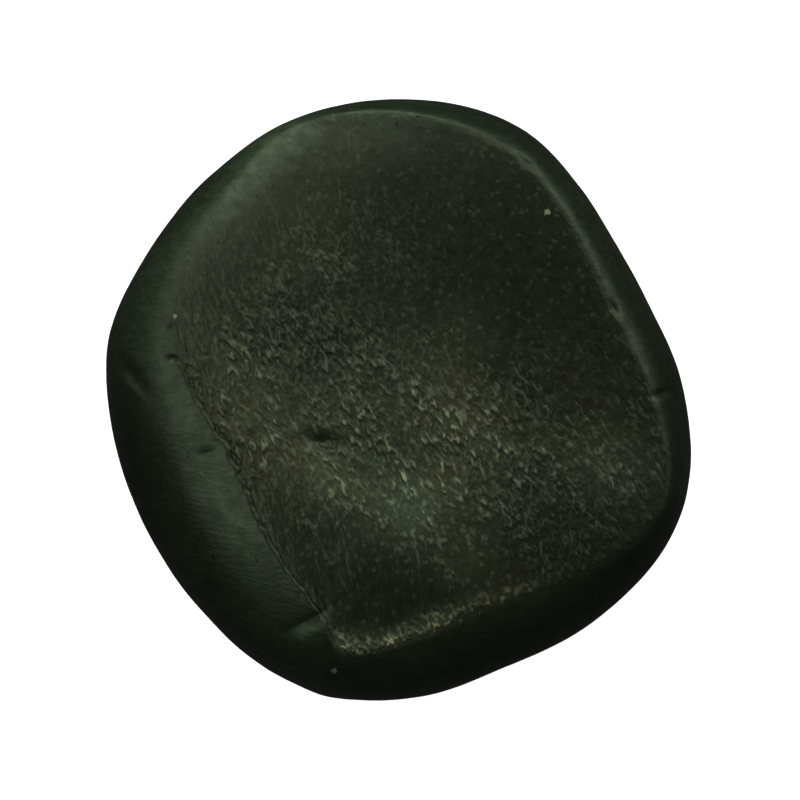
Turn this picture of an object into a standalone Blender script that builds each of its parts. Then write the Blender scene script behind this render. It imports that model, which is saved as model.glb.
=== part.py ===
"""A basalt massage stone: one palm-size pebble with a flat top ground across it.

The stone is drawn as sections round its upright axis. Going up a section, the flat seat turns through the
underside to the widest level, then up the flank to the edge of the ground top, and in over the top to the
middle of the stone.
"""

import bisect
import math

import bmesh
import bpy

MM = 0.001

# Heights above the seat, in millimetres.
WIDEST_LEVEL = 11.0
TOP_LEVEL = 22.0  # the ground top's plane, over the middle of the stone
TOP_FALL_BACK = 0.07  # the plane falls this much per millimetre towards +Y
TOP_FALL_RIGHT = 0.012  # and this much per millimetre towards +X
TOP_CROWN = 0.9  # how far the middle of the top bulges above the plane
EDGE_WEAR_POWER = 12  # the higher this is, the closer to its edge the top wears down

SEAT_SHARE = 0.56  # the flat seat's radius as a share of the outline's
FLANK_FULLNESS = 2.5  # 2 makes the flank an arc of an ellipse, and more makes it fuller

# One row for each section: azimuth in degrees from +X, the outline's radius in millimetres, the radius of
# the ground top's edge, how many degrees of an arc the flank runs through, and how far the top is worn down
# at its edge. A flank of 90 degrees rolls smoothly into the top, and a shorter one meets it at an edge.
SECTIONS = (
    (4, 30.0, 26.1, 70, 0.0),
    (20, 28.4, 24.4, 71, 0.0),
    (36, 28.3, 24.8, 72, 0.0),
    (50, 29.6, 26.4, 72, 0.0),
    (66, 31.6, 28.4, 74, 0.0),
    (90, 31.9, 30.1, 76, 0.1),
    (112, 31.7, 30.6, 80, 0.8),
    (130, 31.1, 28.2, 72, 0.8),
    (150, 30.9, 26.5, 74, 0.7),
    (168, 31.4, 23.5, 70, 0.3),
    (190, 30.3, 19.2, 62, 0.0),
    (206, 30.0, 18.3, 58, 0.0),
    (226, 30.3, 19.8, 56, 0.0),
    (242, 31.5, 22.0, 56, 0.0),
    (250, 31.9, 23.7, 56, 0.0),
    (257, 32.2, 26.6, 58, 0.0),
    (274, 31.5, 24.8, 60, 0.0),
    (292, 30.4, 23.4, 62, 0.0),
    (312, 31.3, 25.5, 64, 0.0),
    (338, 32.3, 29.6, 70, 0.0),
)
OUTLINE, TOP_EDGE, FLANK_ARC, EDGE_WEAR = 1, 2, 3, 4

# Rows of vertices, counted from the middle of the seat up to the middle of the top.
COLUMNS = 90
SEAT_ROWS = 1
UNDERSIDE_ROWS = 9
FLANK_ROWS = 9
TOP_ROWS = 9
WIDEST_ROW = SEAT_ROWS + UNDERSIDE_ROWS
EDGE_ROW = WIDEST_ROW + FLANK_ROWS
ROWS = EDGE_ROW + TOP_ROWS

EDGE_ANGLE = math.radians(18)  # a fold sharper than this is shaded as an edge

BASALT_COLOR = (0.024, 0.030, 0.019, 1.0)
BASALT_ROUGHNESS = 0.5


def clear_scene():
    for obj in list(bpy.data.objects):
        bpy.data.objects.remove(obj, do_unlink=True)


def around(azimuth, column):
    """A column of SECTIONS at any azimuth, on a closed smooth curve through its values."""
    before = bisect.bisect_right([row[0] for row in SECTIONS], azimuth) - 1

    def section(index):
        turns, row = divmod(index, len(SECTIONS))
        return SECTIONS[row][0] + 360 * turns, SECTIONS[row][column]

    (a0, v0), (a1, v1), (a2, v2), (a3, v3) = (section(before + step) for step in (-1, 0, 1, 2))
    span = a2 - a1
    t = (azimuth - a1) / span
    slope1 = (v2 - v0) / (a2 - a0) * span
    slope2 = (v3 - v1) / (a3 - a1) * span
    blend = (3 - 2 * t) * t * t
    return v1 + (v2 - v1) * blend + slope1 * t * (1 - t) ** 2 - slope2 * t * t * (1 - t)


def top_height(radius, azimuth):
    """Height of the ground top: a plane that slopes a little, with a low crown on it and a worn edge."""
    angle = math.radians(azimuth)
    plane = TOP_LEVEL - radius * (TOP_FALL_RIGHT * math.cos(angle) + TOP_FALL_BACK * math.sin(angle))
    share = radius / around(azimuth, TOP_EDGE)
    return plane + TOP_CROWN * (1 - share * share) - around(azimuth, EDGE_WEAR) * share**EDGE_WEAR_POWER


def underside_point(share, azimuth):
    """From the seat's edge at share 0 out and up to the widest level at share 1."""
    outline = around(azimuth, OUTLINE)
    seat = SEAT_SHARE * outline
    angle = share * math.pi / 2
    return seat + (outline - seat) * math.sin(angle), WIDEST_LEVEL * (1 - math.cos(angle))


def flank_curve(angle):
    """How far in and up the flank's curve has come after an angle, for a curve of height and width 1."""
    power = 2 / FLANK_FULLNESS
    return 1 - math.cos(angle) ** power, math.sin(angle) ** power


def flank_point(share, azimuth):
    """From the widest level at share 0 up and in to the ground top's edge at share 1."""
    outline = around(azimuth, OUTLINE)
    edge = around(azimuth, TOP_EDGE)
    arc = math.radians(around(azimuth, FLANK_ARC))
    inward, upward = flank_curve(share * arc)
    whole_inward, whole_upward = flank_curve(arc)
    rise = top_height(edge, azimuth) - WIDEST_LEVEL
    return outline - (outline - edge) * inward / whole_inward, WIDEST_LEVEL + rise * upward / whole_upward


def section_point(row, azimuth):
    """Radius and height, in millimetres, of one row of the section at an azimuth."""
    if row <= SEAT_ROWS:
        return SEAT_SHARE * around(azimuth, OUTLINE) * row / SEAT_ROWS, 0.0
    if row <= WIDEST_ROW:
        return underside_point((row - SEAT_ROWS) / UNDERSIDE_ROWS, azimuth)
    if row <= EDGE_ROW:
        return flank_point((row - WIDEST_ROW) / FLANK_ROWS, azimuth)
    radius = around(azimuth, TOP_EDGE) * (ROWS - row) / TOP_ROWS
    return radius, top_height(radius, azimuth)


def shape_stone(bm):
    """Moves each vertex of a unit sphere onto its section."""
    for vert in bm.verts:
        row = round(ROWS * (0.5 + math.asin(max(-1.0, min(1.0, vert.co.z))) / math.pi))
        azimuth = math.degrees(math.atan2(vert.co.y, vert.co.x)) % 360
        radius, height = section_point(row, azimuth)
        angle = math.radians(azimuth)
        vert.co = (radius * math.cos(angle) * MM, radius * math.sin(angle) * MM, height * MM)


def centre_on_outline(bm):
    """Puts the upright axis through the middle of the stone's width and depth."""
    for axis in (0, 1):
        places = [vert.co[axis] for vert in bm.verts]
        middle = (min(places) + max(places)) / 2
        for vert in bm.verts:
            vert.co[axis] -= middle


def basalt_material():
    material = bpy.data.materials.new("basalt")
    material.use_nodes = True
    shader = material.node_tree.nodes["Principled BSDF"]
    shader.inputs["Base Color"].default_value = BASALT_COLOR
    shader.inputs["Roughness"].default_value = BASALT_ROUGHNESS
    shader.inputs["Metallic"].default_value = 0.0
    return material


def make_stone(collection):
    bm = bmesh.new()
    bmesh.ops.create_uvsphere(bm, u_segments=COLUMNS, v_segments=ROWS, radius=1.0)
    shape_stone(bm)
    centre_on_outline(bm)
    seat_middle = min(bm.verts, key=lambda vert: (vert.co.z, vert.co.xy.length))
    bmesh.ops.dissolve_verts(bm, verts=[seat_middle])
    bmesh.ops.recalc_face_normals(bm, faces=bm.faces)
    mesh = bpy.data.meshes.new("basalt_stone")
    bm.to_mesh(mesh)
    bm.free()
    mesh.shade_smooth()
    mesh.set_sharp_from_angle(angle=EDGE_ANGLE)
    mesh.materials.append(basalt_material())
    stone = bpy.data.objects.new("basalt_stone", mesh)
    collection.objects.link(stone)
    return stone


def main():
    clear_scene()
    collection = bpy.data.collections.new("basalt_massage_stone")
    bpy.context.scene.collection.children.link(collection)
    make_stone(collection)


main()
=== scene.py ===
"""Looks for the basalt massage stone: its fine surface, its rock material, the floor, lights and camera."""
import math

import bpy
import numpy as np
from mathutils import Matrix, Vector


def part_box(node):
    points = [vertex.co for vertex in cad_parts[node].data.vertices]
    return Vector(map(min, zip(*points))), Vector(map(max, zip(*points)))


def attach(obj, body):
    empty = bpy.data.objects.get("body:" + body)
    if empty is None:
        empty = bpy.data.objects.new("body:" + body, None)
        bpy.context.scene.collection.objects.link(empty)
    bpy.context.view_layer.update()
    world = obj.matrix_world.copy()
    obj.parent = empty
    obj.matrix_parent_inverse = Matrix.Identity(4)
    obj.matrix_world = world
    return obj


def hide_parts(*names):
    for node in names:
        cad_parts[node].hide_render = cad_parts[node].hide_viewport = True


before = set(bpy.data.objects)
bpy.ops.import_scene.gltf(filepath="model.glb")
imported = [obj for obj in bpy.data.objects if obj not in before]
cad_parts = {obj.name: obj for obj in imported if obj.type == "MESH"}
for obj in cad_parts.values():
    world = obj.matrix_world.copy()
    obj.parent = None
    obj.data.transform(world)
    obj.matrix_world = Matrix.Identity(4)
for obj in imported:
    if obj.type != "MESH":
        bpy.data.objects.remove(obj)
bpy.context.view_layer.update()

MM = 0.001
NODE = "basalt_stone"

# ---------------------------------------------------------------- the stone's form, as in the CAD model

WIDEST_LEVEL = 11.0
TOP_LEVEL = 22.0
TOP_FALL_BACK = 0.07
TOP_FALL_RIGHT = 0.012
TOP_CROWN = 0.9
SEAT_SHARE = 0.56
FLANK_FULLNESS = 2.5
EDGE_WEAR_POWER = 12

# Azimuth, outline radius, radius of the ground top's edge, degrees of arc in the flank, and wear at the edge.
SECTIONS = (
    (4, 30.0, 26.1, 70, 0.0),
    (20, 28.4, 24.4, 71, 0.0),
    (36, 28.3, 24.8, 72, 0.0),
    (50, 29.6, 26.4, 72, 0.0),
    (66, 31.6, 28.4, 74, 0.0),
    (90, 31.9, 30.1, 76, 0.1),
    (112, 31.7, 30.6, 80, 0.8),
    (130, 31.1, 28.2, 72, 0.8),
    (150, 30.9, 26.5, 74, 0.7),
    (168, 31.4, 23.5, 70, 0.3),
    (190, 30.3, 19.2, 62, 0.0),
    (206, 30.0, 18.3, 58, 0.0),
    (226, 30.3, 19.8, 56, 0.0),
    (242, 31.5, 22.0, 56, 0.0),
    (250, 31.9, 23.7, 56, 0.0),
    (257, 32.2, 26.6, 58, 0.0),
    (274, 31.5, 24.8, 60, 0.0),
    (292, 30.4, 23.4, 62, 0.0),
    (312, 31.3, 25.5, 64, 0.0),
    (338, 32.3, 29.6, 70, 0.0),
)
OUTLINE, TOP_EDGE, FLANK_ARC, EDGE_WEAR = 1, 2, 3, 4

FLANK_SPACING = 1.15  # over 1 puts the flank's rings closer together near the widest level

# How many rings the edge of the top is rounded over, crisp and soft, and how many rings that reaches.
CRISP_ROUNDING, SOFT_ROUNDING, ROUNDING_REACH = 2.2, 4.5, 22

# Square rings of the surface grid: over the top and down to the widest level, and under the stone.
TOP_RINGS = 86
FLANK_RINGS = 54
UPPER_RINGS = TOP_RINGS + FLANK_RINGS
LOWER_RINGS = UPPER_RINGS // 2
SEAT_RINGS = 26

# The shares of the bake map's width that the upper and the lower grid take.
UPPER_MAP_WIDTH = 0.745
LOWER_MAP_WIDTH = 0.245

# The edge of the top is crisp where the flank's arc is under the first, and soft where it is over the second.
CRISP_ARC, SOFT_ARC = 70.0, 82.0

LIP_STEP = 0.06  # how far the skin stands above the ground top along the left edge
LIP_RUN = 0.05  # the width of that step, in plan
SEAM_WIDTH = 0.5  # the fine groove beside it, in the ground top
SEAM_DEPTH = 0.12
# how much painted shade darkens the groove
SEAM_PAINTED_SHADE = 0.7

# Spans of azimuth: where each begins, is whole, begins to fade and is gone.
LIP_SPAN = (166, 182, 250, 262)
POLISHED_SPAN = (84, 108, 158, 178)
SCUFFED_SPAN = (254, 257, 298, 312)

# The scuffed edge: how far inside the edge its middle lies, its half-width, and where on the flank it ends.
SCUFF_INSIDE = 0.2
SCUFF_WIDTH = 1.25
SCUFF_END = (-1.4, -0.3)  # gone and whole; negative is down the flank
SCUFF_FADE = (0.6, 276.0, 292.0)  # the share that it loses between these azimuths

# ---------------------------------------------------------------- marks on the stone, and painted light and shade, in millimetres

GRIND_DIRECTION = math.radians(-62)
WISP_DIRECTION = math.radians(-8)

# Pale mineral grains: middle, size and strength.
GRAINS = (
    (15.6, 19.7, 0.36, 1.0),
    (-6.7, -28.4, 0.34, 0.7),
    (-23.4, 8.8, 0.26, 1.0),
)

# Below, an oval is its middle, its half-sizes, and its turn in degrees anticlockwise.

# Ovals that were polished smooth.
POLISHED = (
    (-17.5, 21.5, 16.0, 8.5, 48),
    (-2.0, 29.5, 12.0, 5.5, 0),
)

# Ovals where the ground top is roughest: strength, then the oval.
ROUGHENED = (
    (1.25, 1.0, -4.5, 26.0, 9.0, -13),
    (0.6, -11.0, 10.0, 13.0, 9.0, 40),
)

# The chipped hollow in the ground top, and the share of the ground finish that is missing in it.
CHIP = (-7.9, -4.2, 1.8, 0.85, -8)
CHIP_BARE = 0.7

# Ovals where the colour is made lighter or darker: the oval, and the change. Many paint light and shade into
# it, as marked below; the rest set lighter and darker patches of the rock.
PAINTED_LIGHT_AND_TONES = (
    (-2.0, -7.4, 14.0, 6.5, -25, 1.9),
    (1.5, -11.5, 3.5, 5.0, -60, 1.1),
    (-7.0, -8.0, 4.0, 2.5, -40, 0.5),
    (5.0, 2.5, 9.0, 5.0, -60, 0.7),
    (1.5, 0.5, 6.0, 3.5, -20, 0.6),
    (-4.5, -8.6, 7.0, 3.0, 0, 0.5),
    (-7.0, 0.5, 4.0, 3.0, 0, 0.6),
    (-9.0, 21.0, 5.0, 4.0, 0, 0.3),
    (7.5, 8.4, 4.0, 3.0, 0, 0.6),
    (13.5, 5.5, 7.0, 2.5, -20, 0.35),
    (3.3, 4.2, 5.0, 2.5, -20, 0.4),
    (-9.0, 8.4, 4.0, 2.5, 0, -0.25),
    (1.2, -12.7, 2.5, 2.0, 0, 0.35),
    (6.0, 25.5, 7.0, 2.5, 0, 0.35),
    (-26.0, 8.0, 5.0, 2.5, 80, 0.2),
    (-19.0, 0.0, 4.0, 3.0, -60, 0.4),
    (22.0, -6.5, 5.0, 4.0, -30, 2.1),
    (15.0, -5.0, 6.0, 3.0, -20, 0.6),
    (9.5, -4.0, 5.0, 4.0, -55, 0.7),
    (6.5, -17.0, 4.0, 2.2, 10, 1.5),
    (-15.0, 0.0, 8.0, 4.0, -62, 1.2),
    (-9.0, 13.5, 6.0, 4.0, -30, 0.35),
    # painted sheen: a painted highlight along the polished upper left edge, here and in the next oval
    (-16.0, 23.8, 10.0, 2.1, 48, 2.0),
    (-12.0, 19.0, 14.0, 7.0, 45, 0.6),
    (-5.0, 28.0, 11.0, 3.0, 8, 1.1),
    # painted shade over the upper right of the top
    (14.0, 9.4, 15.0, 9.0, -62, -0.45),
    (21.5, 5.0, 7.0, 1.8, -65, -0.3),
    (14.0, -15.5, 12.0, 3.5, 18, -0.4),
    (-1.0, -20.0, 8.0, 3.5, 10, -0.42),
    (-7.5, -20.5, 3.0, 2.0, -60, -0.3),
    # painted highlight on the left shoulder, then painted shade beside it
    (-18.0, -13.5, 12.0, 2.6, -64, 1.2),
    (-22.3, -10.5, 10.0, 2.0, -64, -0.65),
    # painted highlight on the small pale facet at the front
    (-9.2, -24.1, 1.5, 0.9, 20, 5.0),
    # painted light on the upper left flank, then on the upper right flank
    (-26.5, 11.5, 9.0, 2.6, 66, 0.6),
    (22.5, 19.5, 15.0, 3.5, -58, 0.9),
    # painted shade low on the left flank, then in the chipped hollow
    (-29.0, -8.0, 9.0, 3.0, -75, -0.4),
    (*CHIP, -0.8),
)

# Hollows: the oval, and its depth; a negative depth is a raised lip.
DENTS = (
    (*CHIP, 0.85),
    (-7.4, -5.3, 1.8, 0.3, 0, -0.22),
    (-4.6, -6.1, 1.6, 0.32, -30, -0.22),
    (-5.1, 20.3, 0.8, 0.35, -60, 0.16),
    (-23.6, 4.4, 0.6, 0.34, -10, 0.40),
    (-23.6, 7.7, 0.5, 0.36, 30, 0.22),
    (-28.4, 3.0, 2.2, 0.8, -52, 0.55),
    (-28.0, 1.3, 1.8, 0.4, -45, -0.14),
    (-19.4, -21.4, 0.45, 0.4, 0, 0.34),
    (-20.0, -5.5, 0.8, 0.4, 20, 0.16),
    (27.6, 0.8, 1.1, 0.35, 15, 0.30),
    (22.6, 9.7, 0.7, 0.4, -60, 0.22),
    (13.4, 25.0, 0.9, 0.35, -40, 0.18),
    (-9.6, -23.1, 2.2, 0.25, 28, 0.34),
    (-9.0, -24.1, 1.7, 0.6, 25, -0.26),
)

# How far the surface swells: depth and size of the lumps.
SWELL = (0.16, 11.0)
RIPPLE = (0.035, 3.2)
RIDGE = (0.08, (3.2, 1.3, 2.0))
FINE_RIDGE = (0.11, (1.7, 0.8, 1.5))
GROUND_CALM = 0.6  # the share of the swells that grinding took off
GROUND_RIDGES, COARSE_RIDGES = 0.25, 0.75  # the ridges' share on all the ground top, and more where roughest

# How far the edge of the top wanders in and out: depth and size.
EDGE_WANDER = (0.14, 2.2)
FINE_EDGE_WANDER = (0.13, 0.7)
LIP_WANDER = 0.4  # how much more it wanders along the left edge
WANDER_CIRCLE = 25.0  # radius of the circle that its noise is read on
WANDER_POWER = 14  # how soon it fades towards the middle of the top
WANDER_RINGS = 2  # how many rings it fades over, down the flank

SEAT_FADE = 2.0  # the swells fade in over this height above the seat
MARK_FADE = 4.0  # the marks fade in over this height above the widest level
FAR_OUTSIDE = -99.0  # how far inside the top's edge the underside counts as being


def smooth(low, high, value):
    t = np.clip((value - low) / (high - low), 0.0, 1.0)
    return t * t * (3.0 - 2.0 * t)


def span(azimuth, begins, whole, fades, gone):
    """1 over a span of azimuth, with smooth ends."""
    return smooth(begins, whole, azimuth) * (1 - smooth(fades, gone, azimuth))


def closed_curve(rows, column, azimuth):
    """A column of a table by azimuth, on a closed smooth curve through its values."""
    angles = np.array([row[0] for row in rows], float)
    values = np.array([row[column] for row in rows], float)
    angles = np.concatenate((angles[-2:] - 360, angles, angles[:3] + 360))
    values = np.concatenate((values[-2:], values, values[:3]))
    first = np.searchsorted(angles, azimuth, side="right") - 1
    a0, a1, a2, a3 = (angles[first + step] for step in (-1, 0, 1, 2))
    v0, v1, v2, v3 = (values[first + step] for step in (-1, 0, 1, 2))
    gap = a2 - a1
    t = (azimuth - a1) / gap
    slope1 = (v2 - v0) / (a2 - a0) * gap
    slope2 = (v3 - v1) / (a3 - a1) * gap
    blend = (3 - 2 * t) * t * t
    return v1 + (v2 - v1) * blend + slope1 * t * (1 - t) ** 2 - slope2 * t * t * (1 - t)


# ---------------------------------------------------------------- repeatable noise for the surface


def cell_value(x, y, z, seed):
    """A repeatable number from -1 to 1 for each whole-number cell."""
    mixed = x * 73856093 ^ y * 19349663 ^ z * 83492791 ^ seed * 2654435761
    mixed = (mixed & 0xFFFFFFFF).astype(np.uint64)
    mixed = (mixed ^ (mixed >> np.uint64(15))) * np.uint64(2246822519) & np.uint64(0xFFFFFFFF)
    mixed = (mixed ^ (mixed >> np.uint64(13))) * np.uint64(3266489917) & np.uint64(0xFFFFFFFF)
    mixed = mixed ^ (mixed >> np.uint64(16))
    return mixed.astype(float) / 2147483647.5 - 1.0


def noise(points, size, seed):
    """Smooth noise from -1 to 1 whose lumps are about size across; size may differ along each axis."""
    scaled = points / np.asarray(size, float)
    cell = np.floor(scaled).astype(np.int64)
    t = scaled - cell
    t = t * t * t * (t * (t * 6 - 15) + 10)
    total = np.zeros(len(points))
    for corner in range(8):
        step = np.array([corner & 1, corner >> 1 & 1, corner >> 2 & 1])
        weight = np.prod(np.where(step, t, 1 - t), axis=1)
        total += weight * cell_value(*(cell + step).T, seed)
    return total


def rough_noise(points, size, seed, octaves=4, gain=0.5):
    """Noise with finer and finer lumps added."""
    turn = np.array([[0.8, -0.6, 0.0], [0.36, 0.48, -0.8], [0.48, 0.64, 0.6]])
    total = np.zeros(len(points))
    share, spread = 1.0, 0.0
    for octave in range(octaves):
        total += share * noise(points, size, seed + octave)
        spread += share
        share *= gain
        points = points @ turn.T * 2.03
    return total / spread


# ---------------------------------------------------------------- the surface grid


def disc_grid(rings):
    """A square grid of points drawn as rings round its middle: each point's ring and its azimuth."""
    line = np.arange(-rings, rings + 1)
    x, y = (side.ravel().astype(float) for side in np.meshgrid(line, line))
    ring = np.maximum(np.abs(x), np.abs(y))
    size = np.maximum(ring, 1.0)
    beside = np.where(x > 0, 0.0, 180.0) + 45 * y / size * np.sign(x)
    across = np.where(y > 0, 90.0, 270.0) - 45 * x / size * np.sign(y)
    azimuth = np.where(np.abs(x) >= np.abs(y), beside, across) % 360
    return ring, azimuth


def around(azimuth, column):
    return closed_curve(SECTIONS, column, azimuth)


def ring_points(azimuth):
    """Points on a circle of the stone's size, to read noise round the stone."""
    angle = np.radians(azimuth)
    return WANDER_CIRCLE * np.stack((np.cos(angle), np.sin(angle), np.zeros_like(angle)), axis=1)


def crispness(azimuth):
    """1 where the flank meets the top at an edge, 0 where it rolls over softly."""
    return 1.0 - smooth(CRISP_ARC, SOFT_ARC, around(azimuth, FLANK_ARC))


def ragged_edge(azimuth):
    """How far the edge of the top wanders in and out where it is crisp, in millimetres."""
    spot = ring_points(azimuth)
    wander = 0.0
    for seed, (reach, size) in ((11, EDGE_WANDER), (12, FINE_EDGE_WANDER)):
        wander = wander + reach * noise(spot, size, seed)
    return crispness(azimuth) * (1 + LIP_WANDER * left_lip(azimuth)) * wander


def top_height(radius, edge, azimuth):
    angle = np.radians(azimuth)
    plane = TOP_LEVEL - radius * (TOP_FALL_RIGHT * np.cos(angle) + TOP_FALL_BACK * np.sin(angle))
    share = radius / edge
    return plane + TOP_CROWN * (1 - share * share) - around(azimuth, EDGE_WEAR) * share**EDGE_WEAR_POWER


def polished_edge(azimuth):
    """1 along the part of the edge that was polished smooth."""
    return span(azimuth, *POLISHED_SPAN)


def edge_softness(azimuth):
    """How many rings the edge of the top is rounded over."""
    crisp = np.maximum(crispness(azimuth), polished_edge(azimuth))
    return (1 - left_lip(azimuth)) * (CRISP_ROUNDING * crisp + SOFT_ROUNDING * (1 - crisp))


def upper_section(ring, azimuth):
    """The sharp section, rounded near the top's edge by averaging it with its neighbours."""
    width = edge_softness(azimuth) * np.exp(-(((ring - TOP_RINGS) / ROUNDING_REACH) ** 2))
    total = np.zeros((2, len(ring)))
    spread = 0.0
    for step in np.linspace(-2.0, 2.0, 9):
        share = math.exp(-step * step / 2)
        total += share * np.array(sharp_section(ring + step * width, azimuth))
        spread += share
    return total / spread


def sharp_section(ring, azimuth):
    """Radius and height of the upper rings: over the top to its edge, then down the flank."""
    edge = around(azimuth, TOP_EDGE)
    outline = around(azimuth, OUTLINE)
    arc = np.radians(around(azimuth, FLANK_ARC))
    on_top = ring <= TOP_RINGS
    share = np.clip(ring / TOP_RINGS, 0.0, 1.0)
    down = np.clip((ring - TOP_RINGS - 1) / (FLANK_RINGS - 1), 0.0, 1.0)
    inward, upward = flank_curve((1 - down) ** FLANK_SPACING * arc)
    far_in, far_up = flank_curve(arc)
    rise = top_height(edge, edge, azimuth) + LIP_STEP * left_lip(azimuth) - WIDEST_LEVEL
    flank_radius = outline - (outline - edge - LIP_RUN) * inward / far_in
    radius = np.where(on_top, edge * share, flank_radius)
    below_edge = np.exp(-down * FLANK_RINGS / WANDER_RINGS) * (1 - down)
    radius += ragged_edge(azimuth) * np.where(on_top, share**WANDER_POWER, below_edge)
    height = np.where(on_top, top_height(edge * share, edge, azimuth), WIDEST_LEVEL + rise * upward / far_up)
    return radius, height


def flank_curve(angle):
    """Inward and upward along the flank's quarter curve, which is a little fuller than an ellipse."""
    power = 2 / FLANK_FULLNESS
    return 1 - np.cos(angle) ** power, np.sin(angle) ** power


def lower_section(ring, azimuth):
    """Radius and height of the lower rings: across the flat seat, then out and up to the widest level."""
    outline = around(azimuth, OUTLINE)
    seat = SEAT_SHARE * outline
    out = np.clip((ring - SEAT_RINGS) / (LOWER_RINGS - SEAT_RINGS), 0.0, 1.0) * math.pi / 2
    curved = seat + (outline - seat) * np.sin(out)
    radius = np.where(ring <= SEAT_RINGS, seat * ring / SEAT_RINGS, curved)
    return radius, WIDEST_LEVEL * (1 - np.cos(out))


def left_lip(azimuth):
    """1 along the left edge, where the polished skin stands a little above the ground top."""
    return span(azimuth, *LIP_SPAN)


def place(section, ring, azimuth):
    radius, height = section(ring, azimuth)
    angle = np.radians(azimuth)
    return np.stack((radius * np.cos(angle), radius * np.sin(angle), height), axis=1)


def upper_faces():
    side = 2 * UPPER_RINGS + 1
    start = np.arange(side * side).reshape(side, side)[:-1, :-1].ravel()
    return np.stack((start, start + 1, start + side + 1, start + side), axis=1).tolist()


def lower_numbers(first):
    """The lower grid's vertex numbers. Its rim is every second point of the upper grid's rim."""
    side = 2 * LOWER_RINGS + 1
    upper_side = 2 * UPPER_RINGS + 1
    shared = 2 * np.arange(side)
    numbers = shared[:, None] * upper_side + shared[None, :]
    inner = side - 2
    numbers[1:-1, 1:-1] = first + np.arange(inner * inner).reshape(inner, inner)
    return numbers


def lower_faces(numbers):
    """Faces that look down. A face on the rim also takes the upper grid's points between its own."""
    rows, columns = np.indices(numbers.shape)
    last = numbers.shape[0] - 1
    on_rim = (rows % last == 0) | (columns % last == 0)
    upper_side = 2 * UPPER_RINGS + 1
    faces = []
    for row in range(last):
        for column in range(last):
            corners = ((row, column), (row + 1, column), (row + 1, column + 1), (row, column + 1))
            face = []
            for here, following in zip(corners, corners[1:] + corners[:1]):
                face.append(int(numbers[here]))
                if on_rim[here] and on_rim[following]:
                    between = (here[0] + following[0]) * upper_side + here[1] + following[1]
                    face.append(between)
            faces.append(face)
    return faces


def stone_mesh():
    upper_ring, upper_azimuth = disc_grid(UPPER_RINGS)
    lower_ring, lower_azimuth = disc_grid(LOWER_RINGS)
    inside = lower_ring < LOWER_RINGS
    lower_ring, lower_azimuth = lower_ring[inside], lower_azimuth[inside]
    upper = place(upper_section, upper_ring, upper_azimuth)
    lower = place(lower_section, lower_ring, lower_azimuth)
    points = np.concatenate((upper, lower))
    faces = upper_faces() + lower_faces(lower_numbers(len(upper)))
    mesh = bpy.data.meshes.new("stone_surface")
    mesh.from_pydata(points.tolist(), [], faces)
    mesh.validate()
    mesh.shade_smooth()
    ring = np.concatenate((upper_ring, -1 - lower_ring))
    azimuth = np.concatenate((upper_azimuth, lower_azimuth))
    return mesh, points, ring, azimuth


# ---------------------------------------------------------------- finer shape, finish and painted light and shade, by place


def blob(points, x, y, long, wide, turn=0.0):
    """1 at (x, y), falling smoothly to 0 over an oval of those half-sizes, turned anticlockwise."""
    c, s = math.cos(math.radians(turn)), math.sin(math.radians(turn))
    across, up = points[:, 0] - x, points[:, 1] - y
    along, side = across * c + up * s, up * c - across * s
    return np.exp(-((along / long) ** 2) - (side / wide) ** 2)


def along_grind(points):
    """The points turned so that the first axis runs along the grinding marks."""
    c, s = math.cos(GRIND_DIRECTION), math.sin(GRIND_DIRECTION)
    turned = np.array([[c, s, 0], [-s, c, 0], [0, 0, 1]])
    return points @ turned.T


def polish(points):
    """1 where the top was polished smooth, along its upper left edge."""
    unpolished = 1.0
    for oval in POLISHED:
        unpolished = unpolished * (1 - blob(points, *oval))
    return 1 - unpolished


def dents(points):
    """How far the named hollows and lips move the surface out."""
    move = np.zeros(len(points))
    for x, y, long, wide, turn, depth in DENTS:
        move -= depth * blob(points, x, y, long, wide, turn)
    return move


def inside_edge(ring, azimuth):
    """How many millimetres inside the top's edge each upper point is; negative on the flank."""
    return (TOP_RINGS - ring) / TOP_RINGS * around(azimuth, TOP_EDGE)


def edge_streak(inside, azimuth):
    """1 along the scuffed part of the edge at the front, fading out to the right."""
    loss, begins, ends = SCUFF_FADE
    along = span(azimuth, *SCUFFED_SPAN) * (1 - loss * smooth(begins, ends, azimuth))
    across = np.exp(-(((inside - SCUFF_INSIDE) / SCUFF_WIDTH) ** 2)) * smooth(*SCUFF_END, inside)
    return along * across


def seam(inside, azimuth):
    """1 in the fine groove just inside the left edge, beside the skin."""
    return left_lip(azimuth) * np.exp(-((inside / SEAM_WIDTH) ** 2)) * (inside >= 0)


def tone(points):
    """How light the colour is made from place to place over the top: painted light and shade, with lighter
    and darker patches of the rock.
    """
    amount = 1.0
    for x, y, long, wide, turn, change in PAINTED_LIGHT_AND_TONES:
        amount = amount * (1 + change * blob(points, x, y, long, wide, turn))
    return amount


def coarseness(points):
    """Up to 1 where the ground top is roughest."""
    amount = 0.0
    for strength, *oval in ROUGHENED:
        amount = amount + strength * blob(points, *oval)
    return np.clip(amount, 0, 1)


def swells(points):
    """The slow swells and ripples of the whole surface."""
    (swell, swell_size), (ripple, ripple_size) = SWELL, RIPPLE
    return swell * rough_noise(points, swell_size, 21, 2) + ripple * rough_noise(points, ripple_size, 22, 3)


def ridges(points):
    """The ridges that grinding left on the top."""
    grinding = along_grind(points)
    (coarse, coarse_size), (fine, fine_size) = RIDGE, FINE_RIDGE
    return coarse * noise(grinding, coarse_size, 31) + fine * noise(grinding, fine_size, 32)


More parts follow.
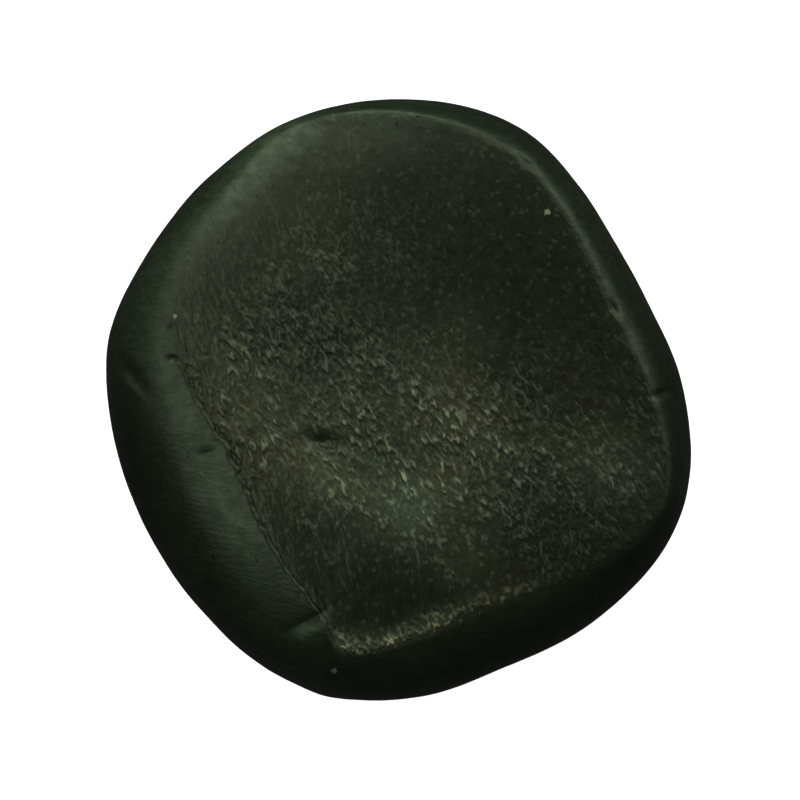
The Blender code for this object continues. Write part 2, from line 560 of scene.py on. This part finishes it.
def shape_finely(points, ring, azimuth):
    """How far each point moves out along its normal, in millimetres, and the finish and painted light
    attributes.
    """
    above = smooth(WIDEST_LEVEL, WIDEST_LEVEL + MARK_FADE, points[:, 2])
    inside = np.where(ring >= 0, inside_edge(ring, azimuth), FAR_OUTSIDE)
    on_top = (inside >= 0).astype(float)
    smoothness = polish(points)
    ground = on_top * (1 - smoothness) * (1 - CHIP_BARE * blob(points, *CHIP))
    streak = edge_streak(inside, azimuth)
    coarse = ground * coarseness(points)
    off_seat = smooth(0.0, SEAT_FADE, points[:, 2])
    groove = seam(inside, azimuth)
    ridged = GROUND_RIDGES * ground + COARSE_RIDGES * coarse
    move = swells(points) * off_seat * (1 - GROUND_CALM * ground) + ridges(points) * ridged
    move += dents(points) * above - SEAM_DEPTH * groove
    # painted light and shade from the ovals, with painted shade in the groove
    painted_lightness = tone(points) * (1 - SEAM_PAINTED_SHADE * groove)
    return move, {
        "ground": ground,
        "polished": on_top * smoothness,
        "coarse": np.maximum(coarse, streak),
        "streak": streak,
        "tone": 1 + above * (painted_lightness - 1),
    }


def add_attribute(mesh, name, values):
    attribute = mesh.attributes.new(name, "FLOAT", "POINT")
    attribute.data.foreach_set("value", values.astype(np.float32))


def add_bake_map(mesh):
    """A flat map for baking: the upper grid fills the left of the square, and the lower grid the right."""
    last = 2 * UPPER_RINGS
    lower_last = 2 * LOWER_RINGS
    upper_count = (last + 1) ** 2
    corner = np.empty(len(mesh.loops), int)
    mesh.loops.foreach_get("vertex_index", corner)
    below = corner >= upper_count
    number = corner - upper_count
    x = np.where(below, (number % (lower_last - 1) + 1) / lower_last, corner % (last + 1) / last)
    y = np.where(below, (number // (lower_last - 1) + 1) / lower_last, corner // (last + 1) / last)
    upper_corners = 4 * last * last
    x = np.where(np.arange(len(corner)) < upper_corners, UPPER_MAP_WIDTH * x, 1 - LOWER_MAP_WIDTH * (1 - x))
    layer = mesh.uv_layers.new(name="OFBake")
    layer.data.foreach_set("uv", np.stack((x, y), axis=1).astype(np.float32).ravel())


def make_stone():
    mesh, points, ring, azimuth = stone_mesh()
    normals = np.empty(len(points) * 3)
    mesh.vertex_normals.foreach_get("vector", normals)
    normals = normals.reshape(-1, 3)
    move, finishes = shape_finely(points, ring, azimuth)
    points = points + normals * move[:, None]
    low, high = (np.array(corner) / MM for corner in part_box(NODE))
    spread = (high - low) / (points.max(0) - points.min(0))
    points = (points - points.min(0)) * spread + low
    mesh.vertices.foreach_set("co", (points * MM).astype(np.float32).ravel())
    mesh.update()
    for name, values in finishes.items():
        add_attribute(mesh, name, values)
    add_bake_map(mesh)
    stone = bpy.data.objects.new("stone_surface", mesh)
    bpy.context.scene.collection.objects.link(stone)
    return stone


# ---------------------------------------------------------------- the rock material

SKIN_DARK = (0.0075, 0.0145, 0.0065, 1)
SKIN_LIGHT = (0.019, 0.0275, 0.015, 1)
POLISHED_DARK = (0.0125, 0.017, 0.0105, 1)
POLISHED_LIGHT = (0.021, 0.0265, 0.0175, 1)
GROUND_GREEN = (0.0095, 0.0135, 0.0075, 1)
GROUND_BROWN = (0.014, 0.0142, 0.007, 1)
FLECK_DUST_AND_HIGHLIGHT_COLOR = (0.072, 0.088, 0.05, 1)
GLINT_COLOR = (0.065, 0.078, 0.05, 1)
MOTTLE_COLOR = (0.007, 0.008, 0.004, 1)
SCUFF_DARK = (0.045, 0.051, 0.026, 1)
SCUFF_LIGHT = (0.30, 0.315, 0.185, 1)
PIT_SHADE_COLOR = (0.004, 0.005, 0.003, 1)
GRAIN_COLOR = (0.22, 0.24, 0.16, 1)
FLECK_SHARE, COARSE_FLECK_SHARE = 0.06, 0.6
GLINT_SHARE = 0.55
MOTTLE_SHARE = 0.35

ROUGHNESS, COARSE_ROUGHNESS, MOTTLE_ROUGHNESS = 0.40, 0.04, 0.12
SPECULAR_LEVEL = 0.4
SPECULAR_TINT = (0.80, 1.0, 0.66, 1)
LUMP_HEIGHT = 0.13 * MM
FINE_HEIGHT = 0.03 * MM
PIT_DEPTH = 0.6  # as a share of the lumps' height


class Nodes:
    """Short calls for building a material's node tree."""

    def __init__(self, material):
        self.tree = material.node_tree
        self.shader = self.tree.nodes["Principled BSDF"]

    def add(self, kind, inputs=None, **settings):
        node = self.tree.nodes.new(kind)
        for name, value in settings.items():
            setattr(node, name, value)
        for name, value in (inputs or {}).items():
            self.put(value, node.inputs[name])
        return node

    def put(self, value, socket):
        if isinstance(value, bpy.types.NodeSocket):
            self.tree.links.new(value, socket)
        else:
            socket.default_value = value

    def math(self, operation, first, second=0.0, third=0.0):
        return self.add("ShaderNodeMath", {0: first, 1: second, 2: third}, operation=operation).outputs[0]

    def times(self, first, second):
        return self.math("MULTIPLY", first, second)

    def inverse(self, value):
        return self.math("SUBTRACT", 1.0, value)

    def weighted(self, *pairs):
        """The sum of values, each times its weight."""
        total = self.times(*pairs[-1])
        for value, weight in reversed(pairs[:-1]):
            total = self.math("MULTIPLY_ADD", value, weight, total)
        return total

    def mix(self, share, first, second, blend="MIX"):
        inputs = {"Factor": share, 6: first, 7: second}
        node = self.add("ShaderNodeMix", inputs, data_type="RGBA", blend_type=blend)
        return node.outputs[2]

    def ramp(self, value, low, high):
        """0 below low, 1 above high and smooth between."""
        inputs = {"Value": value, "From Min": low, "From Max": high}
        node = self.add("ShaderNodeMapRange", inputs, interpolation_type="SMOOTHSTEP")
        return node.outputs["Result"]

    def grey(self, value):
        return self.add("ShaderNodeCombineColor", {0: value, 1: value, 2: value}).outputs[0]

    def spot(self, x, y, size, wobble):
        """1 within about size millimetres of a point on the top, seen from above."""
        place = self.add("ShaderNodeTexCoord").outputs["Object"]
        offset = self.add("ShaderNodeVectorMath", {0: place, 1: (x * MM, y * MM, 0)}, operation="SUBTRACT")
        flat = self.add("ShaderNodeVectorMath", {0: offset.outputs[0], 1: (1, 1, 0)}, operation="MULTIPLY")
        away = self.add("ShaderNodeVectorMath", {0: flat.outputs[0]}, operation="LENGTH").outputs["Value"]
        away = self.math("MULTIPLY_ADD", wobble, 2.0 * size * MM, away)
        inside = self.ramp(away, 1.6 * size * MM, 2.0 * size * MM)
        height = self.add("ShaderNodeSeparateXYZ", {0: place}).outputs["Z"]
        upper = self.math("GREATER_THAN", height, WIDEST_LEVEL * MM)
        return self.times(self.inverse(inside), upper)

    def attribute(self, name):
        return self.add("ShaderNodeAttribute", attribute_name=name).outputs["Fac"]

    def lumps(self, size, turn=0.0):
        """Object coordinates in which one unit is a lump of this size in millimetres."""
        place = self.add("ShaderNodeTexCoord").outputs["Object"]
        scale = [length * MM for length in size]
        inputs = {"Vector": place, "Rotation": (0, 0, turn), "Scale": scale}
        return self.add("ShaderNodeMapping", inputs, vector_type="TEXTURE").outputs[0]

    def noise(self, size, turn=0.0, detail=2.0, roughness=0.5):
        inputs = {"Vector": self.lumps(size, turn), "Scale": 1.0, "Detail": detail, "Roughness": roughness}
        return self.add("ShaderNodeTexNoise", inputs).outputs["Fac"]

    def specks(self, size, rarity, radius, wobble):
        """1 in small uneven specks: one in each lump whose own random number is above rarity."""
        inputs = {"Vector": self.lumps((size, size, size)), "Scale": 1.0}
        cells = self.add("ShaderNodeTexVoronoi", inputs)
        chosen = self.add("ShaderNodeSeparateColor", {0: cells.outputs["Color"]}).outputs[0]
        away = self.math("MULTIPLY_ADD", wobble, 0.6, cells.outputs["Distance"])
        inside = self.inverse(self.ramp(away, 0.3 + 0.6 * radius, 0.3 + radius))
        return self.times(inside, self.math("GREATER_THAN", chosen, rarity))


class Patterns:
    """The finishes and patterns that the rock's colour, gloss and relief are made of."""

    def __init__(self, n):
        self.ground = n.attribute("ground")
        self.tone = n.attribute("tone")
        self.coarse = n.attribute("coarse")
        self.streak = n.attribute("streak")
        self.polished = n.attribute("polished")
        self.bare = n.inverse(n.math("MAXIMUM", self.ground, self.polished))

        self.clouds = n.ramp(n.noise((9, 9, 9), detail=4), 0.35, 0.65)
        self.mottle = n.ramp(n.noise((1.3, 1.3, 1.3), detail=4, roughness=0.6), 0.3, 0.7)
        smudges = n.noise((2.4, 1.2, 2.0), WISP_DIRECTION, detail=5, roughness=0.65)
        self.smudges = n.ramp(smudges, 0.35, 0.7)
        wisps = n.noise((2.8, 0.4, 0.7), WISP_DIRECTION, detail=4, roughness=0.6)
        self.wisps = n.ramp(wisps, 0.38, 0.66)
        self.grain = n.noise((0.3, 0.3, 0.3), detail=2)

        marks = n.noise((1.2, 0.5, 0.7), GRIND_DIRECTION, detail=0.7)
        crumbs = n.noise((0.62, 0.45, 0.5), GRIND_DIRECTION, detail=0.5)
        worn = n.math("MULTIPLY_ADD", self.ground, 0.12, -0.12)
        self.high_marks = n.ramp(n.math("ADD", marks, worn), 0.36, 0.70)
        self.high_crumbs = n.ramp(n.math("ADD", crumbs, worn), 0.42, 0.72)
        clumps = n.ramp(n.noise((6.0, 2.6, 3.0), GRIND_DIRECTION, detail=1.0), 0.38, 0.62)
        self.clumps = n.math("ADD", clumps, 0.5)
        flecks = n.times(n.ramp(marks, 0.50, 0.67), n.ramp(crumbs, 0.40, 0.62))
        self.flecks = n.times(flecks, self.clumps)
        self.glints = n.times(n.specks(1.0, 0.25, 0.30, self.grain), n.inverse(self.coarse))
        self.scuffs = n.ramp(n.noise((1.6, 1.1, 1.0), GRIND_DIRECTION, detail=3), 0.38, 0.62)
        self.pits = n.times(n.specks(2.4, 0.8, 0.12, self.grain), n.inverse(self.ground))


def skin_color(n, p):
    """The smooth skin of the flanks and shoulder, and the polished part of the top."""
    brushed = n.weighted((p.wisps, 0.55), (p.smudges, 0.45))
    skin = n.mix(brushed, SKIN_DARK, SKIN_LIGHT)
    return n.mix(p.polished, skin, n.mix(p.smudges, POLISHED_DARK, POLISHED_LIGHT))


def ground_color(n, p):
    """The ground top, with pale flecks where it is roughest and fine glints elsewhere. The flecks are partly
    pale grinding dust and partly painted highlights on the grinding ridges.
    """
    rough = n.mix(p.clouds, GROUND_GREEN, GROUND_BROWN)
    flecked = n.times(p.flecks, n.math("MULTIPLY_ADD", p.coarse, COARSE_FLECK_SHARE, FLECK_SHARE))
    # flecks: pale grinding dust, partly painted highlights on the ridges
    rough = n.mix(flecked, rough, FLECK_DUST_AND_HIGHLIGHT_COLOR)
    return n.mix(n.times(p.glints, GLINT_SHARE), rough, GLINT_COLOR)


def rock_color(n, p):
    color = n.mix(p.ground, skin_color(n, p), ground_color(n, p))
    # multiplies in the painted light and shade, and the rock's lighter and darker patches
    color = n.mix(1.0, color, n.grey(p.tone), "MULTIPLY")
    color = n.mix(n.times(p.mottle, MOTTLE_SHARE), color, MOTTLE_COLOR)
    scuffed = n.mix(n.times(p.high_crumbs, p.scuffs), SCUFF_DARK, SCUFF_LIGHT)
    color = n.mix(p.streak, color, scuffed)
    # the pits are painted near black: painted shade in them
    color = n.mix(p.pits, color, PIT_SHADE_COLOR)
    for x, y, size, strength in GRAINS:
        color = n.mix(n.times(n.spot(x, y, size, p.grain), strength), color, GRAIN_COLOR)
    return color


def rock_roughness(n, p):
    even = n.math("MULTIPLY_ADD", p.coarse, COARSE_ROUGHNESS, ROUGHNESS)
    return n.math("MULTIPLY_ADD", n.math("SUBTRACT", p.mottle, 0.5), MOTTLE_ROUGHNESS, even)


def rock_relief(n, p):
    """Lumps and crumbs of the ground top and the scuffed edge, with fine grain and wisps over them."""
    mark_lift = n.weighted((p.polished, 0.4), (p.ground, 0.1), (p.coarse, p.clumps))
    crumb_lift = n.weighted((p.streak, 0.8), (p.coarse, 0.3), (p.ground, 0.1))
    height = n.math("ADD", n.times(p.high_marks, mark_lift), n.times(p.high_crumbs, crumb_lift))
    height = n.math("SUBTRACT", height, n.times(p.pits, PIT_DEPTH))
    lumps = {"Height": height, "Strength": 1.0, "Distance": LUMP_HEIGHT}
    lumpy = n.add("ShaderNodeBump", lumps).outputs[0]
    height = n.weighted((p.grain, 0.5), (n.times(p.wisps, p.bare), 0.35))
    fine = {"Height": height, "Strength": 1.0, "Distance": FINE_HEIGHT, "Normal": lumpy}
    return n.add("ShaderNodeBump", fine).outputs[0]


def basalt():
    material = bpy.data.materials.new("basalt")
    material.use_nodes = True
    n = Nodes(material)
    p = Patterns(n)
    n.put(rock_color(n, p), n.shader.inputs["Base Color"])
    n.put(rock_roughness(n, p), n.shader.inputs["Roughness"])
    n.put(rock_relief(n, p), n.shader.inputs["Normal"])
    n.put(SPECULAR_LEVEL, n.shader.inputs["Specular IOR Level"])
    n.put(SPECULAR_TINT, n.shader.inputs["Specular Tint"])
    return material


# ---------------------------------------------------------------- floor, lights and camera

CAMERA_HEIGHT = 0.9
VIEW_WIDTH = 84.8 * MM  # what the camera takes in from side to side, at the widest level
CAMERA_RIGHT = 0.16 * MM  # how far right of the stone's middle it stands
WORLD_GLOW = 0.03

# Azimuth and angle from straight up in degrees, distance and side in metres, power in watts.
LIGHTS = {
    "back": (90, 62, 0.9, 0.5, 2.8),
    "back_right": (45, 62, 0.9, 0.5, 2.2),
    "back_left": (135, 46, 0.9, 0.6, 1.5),
    "left": (190, 40, 0.9, 0.4, 1.35),
    "right": (0, 62, 0.9, 0.5, 0.3),
    "front": (270, 62, 0.9, 0.5, 0.2),
}
FLOOR_GLOW = 0.95
BACKDROP_RADIUS = 4.0


def stage_material():
    """White paper, bright enough to stay white in the stone's own soft shadow."""
    material = bpy.data.materials.new("studio_white")
    material.use_nodes = True
    shader = material.node_tree.nodes["Principled BSDF"]
    shader.inputs["Base Color"].default_value = (0.9, 0.9, 0.9, 1)
    shader.inputs["Roughness"].default_value = 0.9
    shader.inputs["Specular IOR Level"].default_value = 0.0
    shader.inputs["Emission Color"].default_value = (1, 1, 1, 1)
    shader.inputs["Emission Strength"].default_value = FLOOR_GLOW
    return material


def make_stage():
    """A white floor inside a white dome. Neither one lights the stone or shows in its gloss."""
    white = stage_material()
    bpy.ops.mesh.primitive_plane_add(size=2.2 * BACKDROP_RADIUS)
    floor = bpy.context.object
    floor.name = "floor"
    floor.visible_diffuse = False
    floor.visible_glossy = False
    bpy.ops.mesh.primitive_uv_sphere_add(segments=64, ring_count=32, radius=BACKDROP_RADIUS)
    dome = bpy.context.object
    dome.name = "backdrop"
    dome.visible_diffuse = False
    dome.visible_glossy = False
    dome.visible_shadow = False
    for piece in (floor, dome):
        piece.data.materials.append(white)


def make_light(name, azimuth, tilt, distance, side, power):
    data = bpy.data.lights.new(name, "AREA")
    data.shape = "SQUARE"
    data.size = side
    data.energy = power
    light = bpy.data.objects.new(name, data)
    bpy.context.scene.collection.objects.link(light)
    a, t = math.radians(azimuth), math.radians(tilt)
    place = (math.sin(t) * math.cos(a), math.sin(t) * math.sin(a), math.cos(t))
    light.location = [distance * part for part in place]
    light.rotation_euler = (0, t, a)


def make_camera(middle):
    data = bpy.data.cameras.new("camera")
    data.sensor_width = 36.0
    data.lens = data.sensor_width * CAMERA_HEIGHT / VIEW_WIDTH
    data.clip_start = 0.01
    data.clip_end = 20.0
    camera = bpy.data.objects.new("camera", data)
    bpy.context.scene.collection.objects.link(camera)
    camera.location = (middle.x + CAMERA_RIGHT, middle.y, WIDEST_LEVEL * MM + CAMERA_HEIGHT)
    bpy.context.scene.camera = camera


def make_world(strength):
    world = bpy.data.worlds.new("studio")
    world.use_nodes = True
    background = world.node_tree.nodes["Background"]
    background.inputs["Color"].default_value = (1, 1, 1, 1)
    background.inputs["Strength"].default_value = strength
    bpy.context.scene.world = world


low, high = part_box(NODE)
stone = make_stone()
stone.data.materials.append(basalt())
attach(stone, "root")
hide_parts(NODE)
make_stage()
for name, setting in LIGHTS.items():
    make_light(name, *setting)
make_camera((low + high) / 2)
make_world(WORLD_GLOW)
bpy.context.scene.view_settings.view_transform = "Standard"
